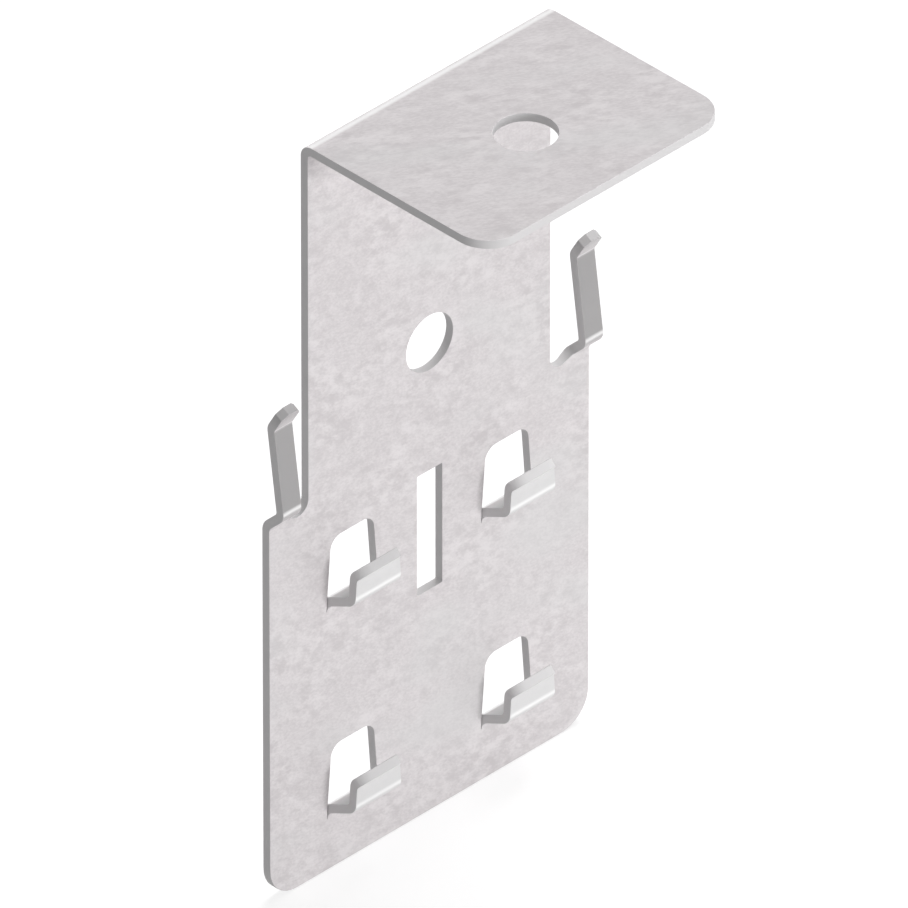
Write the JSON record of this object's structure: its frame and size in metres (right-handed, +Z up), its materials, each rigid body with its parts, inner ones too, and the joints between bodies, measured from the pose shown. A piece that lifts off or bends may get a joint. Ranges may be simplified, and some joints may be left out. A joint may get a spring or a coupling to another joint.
{
  "type": "mesh tray bracket",
  "caption": "Folded sheet-steel bracket that hangs a wire mesh cable tray from a ceiling rod or wall bolt, with lanced hooks and spring clips for the tray's wires.",
  "frame": {"origin": "centre of the round hole in the flange, on the flange's top face", "axes": "+Z up, along the flange hole; X across the plate; the flange, clips and hooks point towards -Y, and the plate's back face looks towards +Y"},
  "size_m": [0.0886, 0.0515, 0.176],
  "materials": {
    "galvanised_sheet": "hot-dip galvanised sheet, matt with a faint cloudy grain"
  },
  "bodies": {
    "root": {"bracket": "galvanised_sheet"}
  },
  "joints": []
}
